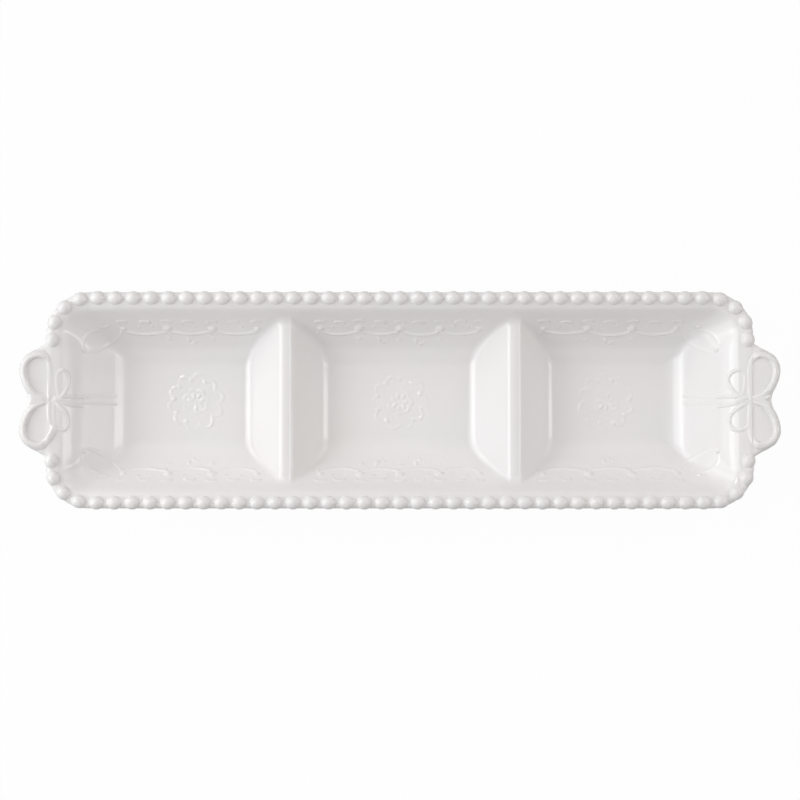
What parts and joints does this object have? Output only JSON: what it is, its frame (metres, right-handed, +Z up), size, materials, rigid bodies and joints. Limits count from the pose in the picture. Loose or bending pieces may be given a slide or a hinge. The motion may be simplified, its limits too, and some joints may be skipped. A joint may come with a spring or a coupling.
{
  "type": "divided serving dish",
  "caption": "Long white glazed stoneware serving dish with divided wells, a beaded rim, ribbon bow handles at its ends and pressed lace relief inside.",
  "frame": {"origin": "under the middle of the dish, on the surface that its foot rests on", "axes": "+X along the dish, towards the right bow; +Y across it, towards the back wall; +Z up out of the wells"},
  "size_m": [0.399, 0.1148, 0.0417],
  "materials": {
    "white_glaze": "glossy white glaze on stoneware",
    "bare_stoneware": "unglazed, ground flat"
  },
  "bodies": {
    "root": {"dish_body": "white_glaze", "foot_ring": "bare_stoneware", "left_divider": "white_glaze", "right_divider": "white_glaze", "back_beads": "white_glaze", "front_beads": "white_glaze", "back_left_beads": "white_glaze", "back_right_beads": "white_glaze", "front_left_beads": "white_glaze", "front_right_beads": "white_glaze", "left_bow_tab": "white_glaze", "left_bow_knot": "white_glaze", "left_bow_back_loop": "white_glaze", "left_bow_front_loop": "white_glaze", "left_bow_back_inner_loop": "white_glaze", "left_bow_front_inner_loop": "white_glaze", "left_bow_back_tail": "white_glaze", "left_bow_front_tail": "white_glaze", "right_bow_tab": "white_glaze", "right_bow_knot": "white_glaze", "right_bow_back_loop": "white_glaze", "right_bow_front_loop": "white_glaze", "right_bow_back_inner_loop": "white_glaze", "right_bow_front_inner_loop": "white_glaze", "right_bow_back_tail": "white_glaze", "right_bow_front_tail": "white_glaze", "left_back_swag": "white_glaze", "middle_back_swag": "white_glaze", "right_back_swag": "white_glaze", "left_front_swag": "white_glaze", "middle_front_swag": "white_glaze", "right_front_swag": "white_glaze", "left_back_corner_ribbon": "white_glaze", "left_front_corner_ribbon": "white_glaze", "right_back_corner_ribbon": "white_glaze", "right_front_corner_ribbon": "white_glaze", "left_medallion": "white_glaze", "middle_medallion": "white_glaze", "right_medallion": "white_glaze"}
  },
  "joints": []
}
